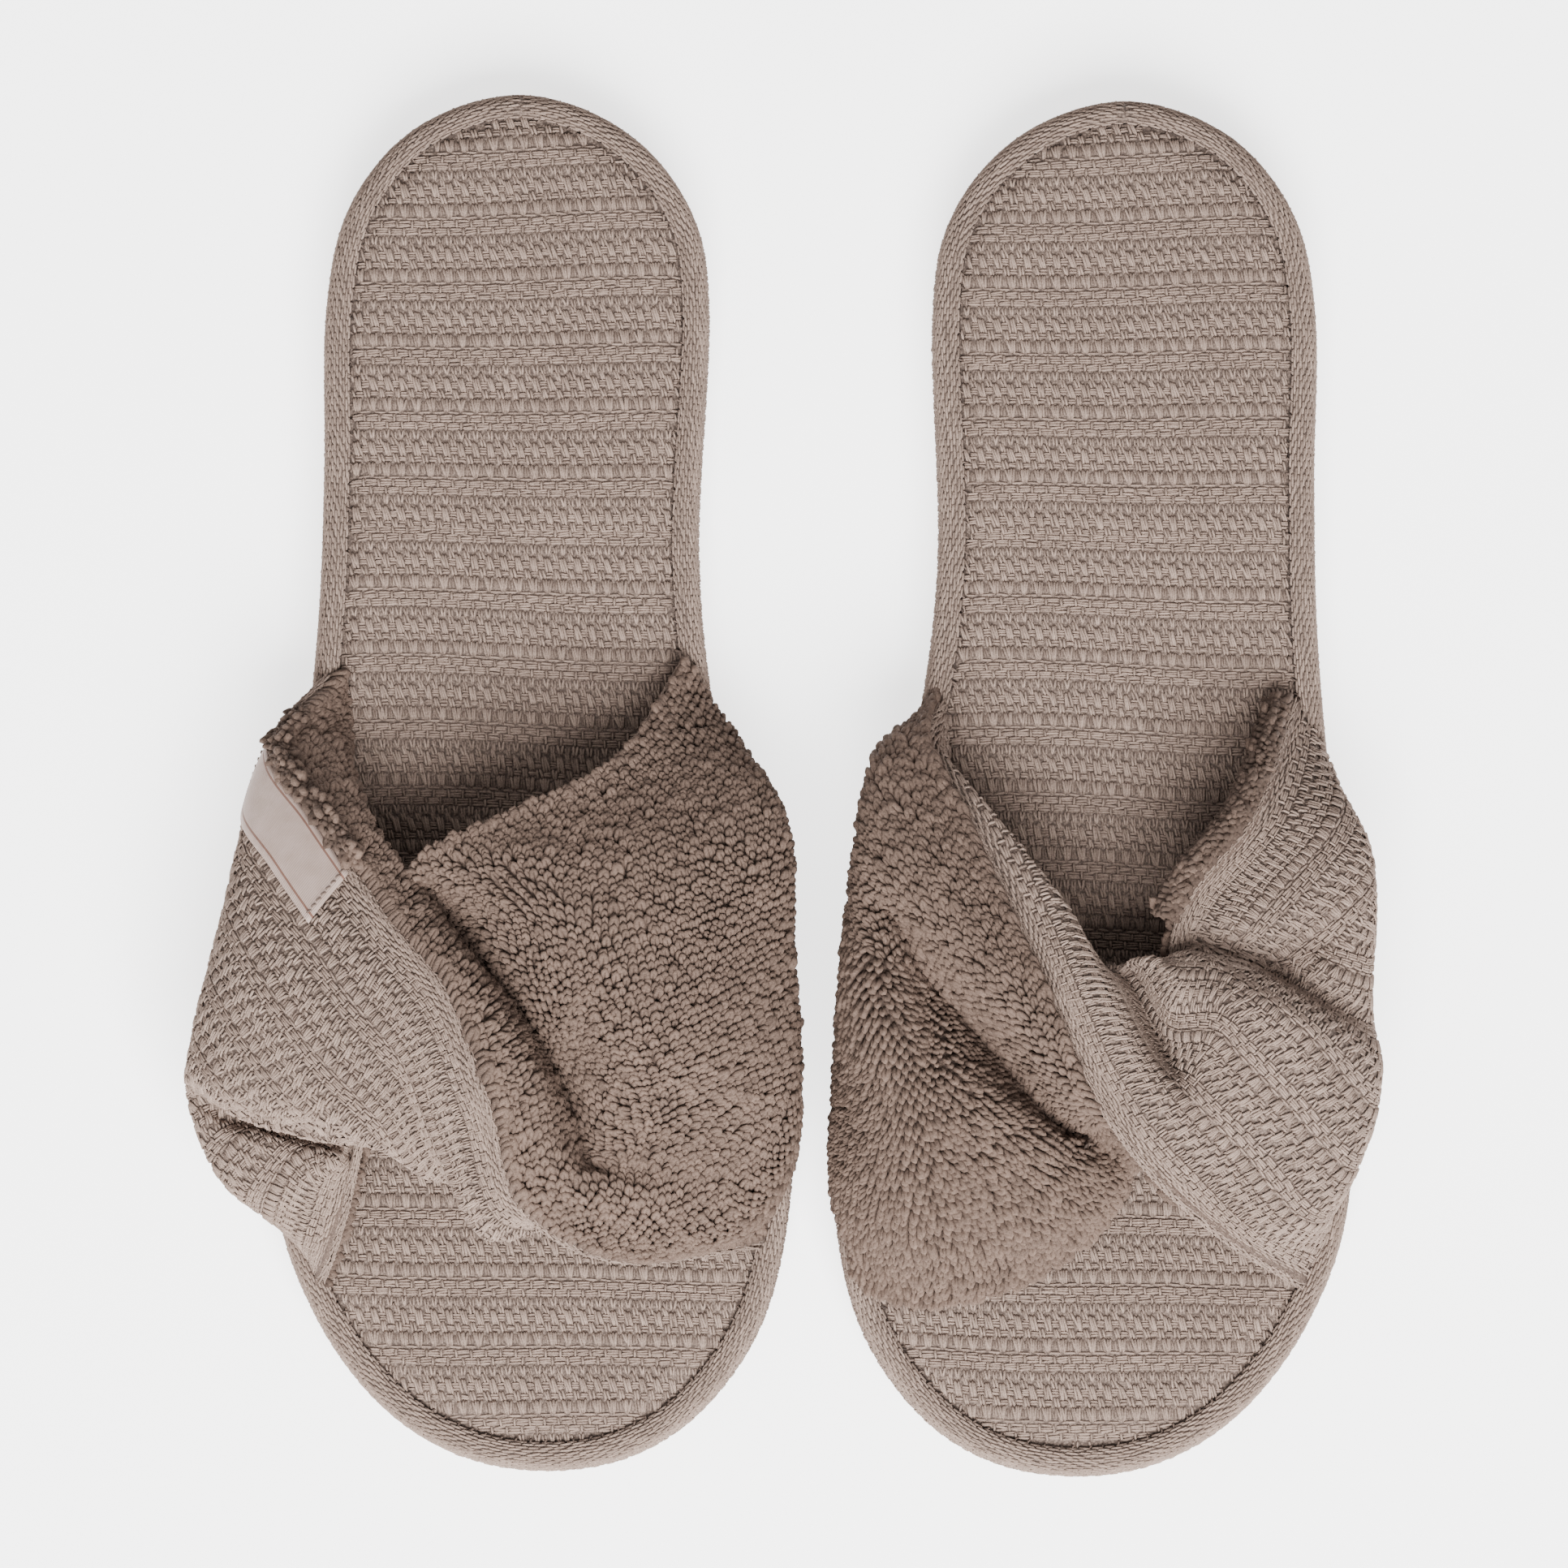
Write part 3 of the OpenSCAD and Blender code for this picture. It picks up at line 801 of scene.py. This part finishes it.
def sole_pieces(slipper):
    """Every piece of one sole. Each is one continuous mesh across the flex line."""
    outsole = grooved_outsole(slipper)
    # A foam board, and the padding on it
    plan = sole_grid(slipper, 2.4)
    midsole = sole_layer(
        slipper, "midsole", plan, FOAM_TOP - 0.6, RUBBER_TOP + 0.2, FOAM)
    plan = sole_grid(slipper, SEAM_INSET + 0.6)
    top = insole_height(slipper, plan) - 1.0
    padding = sole_layer(slipper, "padding", plan, top, FOAM_TOP - 0.4, FOAM)
    # The insole cover and its yarns
    plan = sole_grid(slipper, SEAM_INSET)
    top = insole_height(slipper, plan)
    cover = sole_layer(
        slipper, "insole_cover", plan, top, top - CLOTH_THICKNESS, WOVEN_GROUND)
    cover_yarns = insole_yarns(slipper)
    # The wrap round the side with its yarns, and the seam's stitches
    cloth = wrap_cloth(slipper)
    wrap = plate(f"{slipper}_wrap", cloth.grid, cloth.offset(-CLOTH_THICKNESS), closed=True)
    finish_piece(wrap, WOVEN_GROUND, both_nodes(slipper, "wrap"))
    edge_and_side = wrap_yarns(slipper, cloth)
    stitches = seam_stitches(slipper)
    for piece in (outsole, midsole, padding, cover, *cover_yarns, wrap, *edge_and_side, stitches):
        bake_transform(piece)


def insole_yarns(slipper):
    """Yarns of the striped cloth over the whole insole, in three pieces."""
    width, length = 120, 272
    x, down = np.meshgrid(
        np.linspace(-width / 2, width / 2, 61), np.linspace(0, length, 137), indexing="ij")
    wave = 0.9 * np.sin(x / 27 + down / 60) + 0.5 * np.sin(x / 13 - down / 41)
    plan = np.stack([x, length / 2 - down + wave], axis=-1)
    cloth = Cloth(with_height(plan, insole_height(slipper, plan)), width, length, 1)
    edge = SEAM_INSET + 0.55
    ring_y = sole_ring(slipper, edge)[:, 1]

    def inside(s, t):
        x, y = cloth.at(s, t)[0].T[:2]
        left, right = sole_span(slipper, edge, y)
        return (y > ring_y.min()) & (y < ring_y.max()) & (x > left) & (x < right)

    pieces = []
    for part, t_range in (("rear", (0, 88)), ("middle", (88, 182)), ("front", (182, length))):
        weave = Weave(cloth)
        lay_stripes(weave, (0, width), t_range, inside)
        pieces.append(weave.make(f"{slipper}_insole_yarns_{part}", WOVEN))
    return pieces


# The wrap's outer face: distance in from the sole's outline and height, from the seam down
WRAP_PROFILE = [[4.75, 14.9], [4.5, 15.7], [3.7, 16.25], [2.7, 16.2], [1.6, 15.5], [0.75, 14.2],
                [0.35, 12], [0.3, 9], [0.35, 6], [0.6, 4], [1.2, 3], [2.2, 2.75]]


def wrap_cloth(slipper):
    """The wrap as a cloth: s runs round the sole, and t from the seam out and down the side."""
    profile = along(np.array(WRAP_PROFILE, float), np.linspace(0, 1, 41))
    rings = np.array([with_height(sole_ring(slipper, d)[None], z)[0] for d, z in profile])
    rings = np.concatenate([rings, rings[:, :1]], axis=1).transpose(1, 0, 2)
    widths = running_length(rings, 1)
    rings = resample(rings, widths, 27)
    lengths = running_length(rings, 0).mean(axis=1)
    rings = resample(rings.transpose(1, 0, 2), [lengths] * 27, int(lengths[-1] / 2.2) + 1)
    rings = rings.transpose(1, 0, 2)
    return Cloth(rings, lengths[-1], widths[:, -1].mean(), -SLIPPERS[slipper]["mirror"])


def wrap_yarns(slipper, cloth):
    """Yarns of the wrap: plain rows beside the seam, stripes round the side below."""
    edge_width = 6.4
    pieces = []
    for part, lay, t_range in (("edge", lay_bricks, (0.3, edge_width)),
                               ("side", lay_stripes, (edge_width, cloth.width))):
        weave = Weave(cloth)
        lay(weave, (0, cloth.length - 1), t_range)
        pieces.append(weave.make(f"{slipper}_wrap_{part}_yarns", WOVEN))
    return pieces


STITCH_PITCH = 2.9


def seam_stitches(slipper):
    """Stitches that close the seam between the wrap and the insole cover."""
    ring = sole_ring(slipper, SEAM_INSET + 0.05)
    ring = with_height(np.concatenate([ring, ring[:1]])[None], SOLE_TOP - 1.35)
    running = running_length(ring, 1)
    path = resample(ring, running, 400)[0]
    length = running[0, -1]
    sideways = np.cross(unit(np.gradient(path, axis=0)), [0, 0, 1.0])
    cloth = Cloth(np.stack([path, path + sideways], axis=1), length, 1, 1)
    cloth.normal[:] = [0, 0, 1]
    weave = Weave(cloth)
    s = np.arange(1, length - 1, STITCH_PITCH)
    # The stitches down in the groove are painted dark for the shadow in the seam; the stitches crossing
    # above them are paler
    weave.lay(strand(2.2, 0.2, 0.2), s, 0 * s, turn=math.pi / 2, tone=0.3)
    weave.lay(strand(1.4, 0.2, 0.3), s + STITCH_PITCH / 2, 0 * s, turn=0.4, lift=0.3, tone=0.7,
              jitter=2.5)
    return weave.make(f"{slipper}_seam_stitches", THREAD,
                      both_nodes(slipper, "seam_thread"))


# ---- bands

LOOP_PITCH_S = 1.7
LOOP_PITCH_T = 1.4
# Which way the loops lean on each part of the terry: the angle from -t towards s
LEANS = {("left_terry", "over"): -1.6, ("left_terry", "under"): 0.0,
         ("right_terry", "over"): 3.7, ("right_terry", "under"): 0.25}


def nearest_gap(points, others):
    """Distance from each point to the nearest of the others."""
    others = others[::2, ::2].reshape(-1, 3)
    tree = KDTree(len(others))
    for number, point in enumerate(others):
        tree.insert(point, number)
    tree.balance()
    gaps = [tree.find(point)[2] for point in points.reshape(-1, 3)]
    return np.array(gaps).reshape(points.shape[:2])


def band_foam(slipper):
    """Thin foam on the inner side of the terry, thinner where the two cloths come close."""
    terry, woven = (band_cloth(f"{slipper}_{cloth}") for cloth in ("terry", "woven"))
    thick = np.clip(0.4 * nearest_gap(terry.grid, woven.grid) - 1.0, 0.05, 1.0)[..., None]
    outer, inner = (terry.offset(-depth)[2:-2, 12:-12] for depth in (0.8, 0.8 + thick))
    foam = plate(f"{slipper}_band_foam", outer, inner)
    finish_piece(foam, WADDING, [f"{slipper}_band_interlining"])
    return foam


# Where long loops fringe a band's edge: which seam, from which to which share of its length, the
# fringe's radius and how far it stands out from the seam
FRINGES = {"left": ("under", 0.66, 0.975, 2.5, 3.0), "right": ("over", 0.07, 0.3, 1.7, 1.5)}


def seam_roll(slipper, seam, start, end, radius, outward=0.0, raised=0.0):
    """The rolled edge along a part of a seam as a cloth: s along the seam, t round it."""
    net_row = BAND_NETS[f"{slipper}_terry"][0 if seam == "over" else -1]
    path = along(np.array(net_row, float), np.linspace(0, 1, 200))
    running = running_length(path[:, None], 0)[:, 0]
    wanted = np.linspace(start * running[-1], end * running[-1], 160)
    path = read_at(path, running, wanted)
    direction = unit(np.gradient(path, axis=0))
    side = unit(np.cross(direction, [0, 0, 1.0]))
    up = np.cross(side, direction)
    path = path - outward * side + raised * up
    angle = np.linspace(0, 2 * np.pi, 13)[:, None]
    grid = np.stack([path + radius * (np.cos(a) * side + np.sin(a) * up) for a in angle], axis=1)
    return Cloth(grid, wanted[-1] - wanted[0], 2 * np.pi * radius, 1)


def rolled_edges(slipper):
    """Close-woven rolls along both seams of a band, and the fringe of long loops on one of them."""
    pieces = []
    for seam in ("over", "under"):
        cloth = seam_roll(slipper, seam, 0.01, 0.99, 0.9)
        weave = Weave(cloth)
        lay_bricks(weave, (0, cloth.length), (0, cloth.width))
        pieces.append(weave.make(f"{slipper}_band_edge_{seam}", WOVEN))
    seam, start, end, radius, outward = FRINGES[slipper]
    cloth = seam_roll(slipper, seam, start, end, radius, outward, raised=1.2)
    weave = Weave(cloth)
    s, t = cells((0.5, cloth.length - 0.5), (0, cloth.width), 1.9, cloth.width / 8)
    turn = 0.9 + random.normal(0, 0.3, len(s))
    weave.lay(loop(1.7), s, t, turn=turn, scale=random.normal(1.35, 0.1, len(s)), jitter=1.5)
    pieces.append(weave.make(f"{slipper}_band_fringe", TERRY))
    return pieces


def terry_pile(weave, s_range, seam_name):
    """Rows of loops from the seam to the crease, leaning one way with slow drifts and some disorder."""
    cloth = weave.cloth
    lean = LEANS[seam_name]
    row_t = np.arange(0.9, cloth.width, LOOP_PITCH_T)
    rows = [cloth.even_row(t, s_range, LOOP_PITCH_S, LOOP_PITCH_S / 2 * (number % 2))
            for number, t in enumerate(row_t)]
    row = np.repeat(np.arange(len(rows)), [len(places) for places in rows])
    s, t = np.concatenate(rows), row_t[row]
    drift = np.sin(s / 9 + t / 14) + np.sin(s / 17 - t / 8 + 2)
    s = s + random.normal(0, 0.12, len(s))
    t = t + 0.2 * np.sin(s / 5 + row) + random.normal(0, 0.12, len(t))
    turn = lean + 0.3 * drift + random.normal(0, 0.18, len(s))
    near_seam = 1 - smoothstep(t / 6)
    scale = 1.03 + 0.25 * near_seam + 0.07 * drift + random.normal(0, 0.1, len(s))
    keep = (s < s_range[1]) & cloth.within(s, t)
    weave.lay(loop(1.2 if abs(lean) > 1 else 1.0), s, t, turn=turn, scale=scale, keep=keep)


def woven_face(weave, s_range, _):
    """A plain margin beside the seam, then the stripes as far as the crease."""
    margin = 3.2
    lay_bricks(weave, s_range, (0.0, margin))
    lay_stripes(weave, s_range, (margin, weave.cloth.width), weave.cloth.within)


# For each cloth of a band: its ground's material and top face, what lies on it, that pile's name and
# material, and the parts that the pile is made in
COVERS = {
    "terry": (TERRY_GROUND, 0.3, terry_pile, "loops", TERRY, ("low_x", "middle", "high_x")),
    "woven": (WOVEN_GROUND, -0.1, woven_face, "yarns", WOVEN, ("low_x", "high_x")),
}


def band_cover(slipper, cloth_name):
    """One cloth of a band: its ground, and its pile or yarns in a few pieces from each seam."""
    ground_material, top, lay_pile, pile_name, pile_material, parts = COVERS[cloth_name]
    name, slot = f"{slipper}_{cloth_name}", f"{cloth_name}_cloth"
    whole = band_cloth(name)
    ground = plate(f"{slipper}_band_{slot}", whole.offset(top), whole.offset(-0.9))
    finish_piece(ground, ground_material, [f"{slipper}_band_{cloth_name}"])
    piles = []
    for seam in ("over", "under"):
        half = band_half(name, seam)
        cuts = np.linspace(0.5, half.length - 0.5, len(parts) + 1)
        for part, start, end in zip(parts, cuts, cuts[1:]):
            weave = Weave(half)
            lay_pile(weave, (start, end), (name, seam))
            piles.append(weave.make(f"{slipper}_band_{pile_name}_{seam}_{part}", pile_material))
    return [ground, *piles]


LABEL_S = (17, 45.5)
LABEL_T = (0.8, 13.6)
LABEL_TOP = 1.15


def label_pieces():
    """A blank ribbon label on the right band, and the tacks at its two ends."""
    cloth = band_half("right_woven", "over")
    s, t = np.meshgrid(np.linspace(*LABEL_S, 33), np.linspace(*LABEL_T, 13), indexing="ij")
    place, _, _, normal = cloth.at(s.ravel(), t.ravel())
    place, normal = (v.reshape(*s.shape, 3) for v in (place, normal))
    label = plate("right_label_ribbon", place + LABEL_TOP * normal, place + 0.75 * normal)
    finish_piece(label, RIBBON, ["right_label"])
    weave = Weave(cloth)
    for end in (LABEL_S[0] + 1.0, LABEL_S[1] - 1.0):
        t = np.arange(LABEL_T[0] + 0.8, LABEL_T[1] - 0.4, 1.5)
        weave.lay(strand(1.2, 0.18, 0.2), end, t, lift=LABEL_TOP, tone=0.8, jitter=0.3)
    tacks = weave.make("right_label_tacks", THREAD, ["right_label_stitches"])
    return [label, tacks]


def band_pieces(slipper):
    """The band of one slipper: two ground cloths with their yarns or loops, and the foam between."""
    pieces = [band_foam(slipper), *rolled_edges(slipper)]
    for cloth_name in COVERS:
        pieces += band_cover(slipper, cloth_name)
    if slipper == "right":
        pieces += label_pieces()
    for piece in pieces:
        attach(piece, f"{slipper}_forefoot")


# ---- scene

def stage_and_light():
    """Pale floor, soft light and a pale room."""
    bpy.ops.mesh.primitive_plane_add(size=12, location=(0, 0, -0.0001))
    floor = bpy.context.object
    floor.name = "floor"
    material = plain_material("floor", (0.95, 0.95, 0.95), (0.96, 0.96, 0.96), 0.9, 3, 0.0)
    shader = material.node_tree.nodes["Principled BSDF"]
    shader.inputs["Emission Color"].default_value = (1, 1, 1, 1)
    shader.inputs["Emission Strength"].default_value = 2.0
    floor.data.materials.append(material)
    world = bpy.data.worlds.new("room")
    bpy.context.scene.world = world
    world.use_nodes = True
    background = world.node_tree.nodes["Background"]
    background.inputs["Color"].default_value = (1, 1, 1, 1)
    background.inputs["Strength"].default_value = 0.6
    for name, place, size, power in (
            ("key", (0.2, -1.2, 1.5), 1.3, 140), ("fill", (-0.9, -0.9, 1.4), 1.4, 10)):
        light = bpy.data.lights.new(name, "AREA")
        light.size = size
        light.energy = power
        obj = bpy.data.objects.new(name, light)
        bpy.context.scene.collection.objects.link(obj)
        obj.location = place
        obj.rotation_euler = (-Vector(place)).to_track_quat("-Z", "Y").to_euler()


IMAGE_WIDTH = 1932
PIXELS_PER_MM = 6.26


def add_camera():
    """Long lens high over the toes, looking down on the pair, with the frame's slight roll."""
    lens = 250
    sensor = 36
    frame_width = IMAGE_WIDTH / PIXELS_PER_MM * MM
    elevation = math.radians(84.5)
    roll = 0.01047
    camera = bpy.data.objects.new("camera", bpy.data.cameras.new("camera"))
    camera.data.lens = lens
    camera.data.sensor_width = sensor
    camera.data.clip_end = 20
    bpy.context.scene.collection.objects.link(camera)
    back = Vector((0, -math.cos(elevation), math.sin(elevation)))
    right = Vector((1, 0, 0))
    up = back.cross(right)
    target = right * -0.0004 + up * 0.0005
    turned_right = right * math.cos(roll) + up * math.sin(roll)
    turned_up = up * math.cos(roll) - right * math.sin(roll)
    rotation = Matrix((turned_right, turned_up, back)).transposed().to_4x4()
    camera.matrix_world = Matrix.Translation(target + back * (frame_width * lens / sensor)) @ rotation
    bpy.context.scene.camera = camera


add_camera()
stage_and_light()
for slipper in SLIPPERS:
    sole_pieces(slipper)
    band_pieces(slipper)
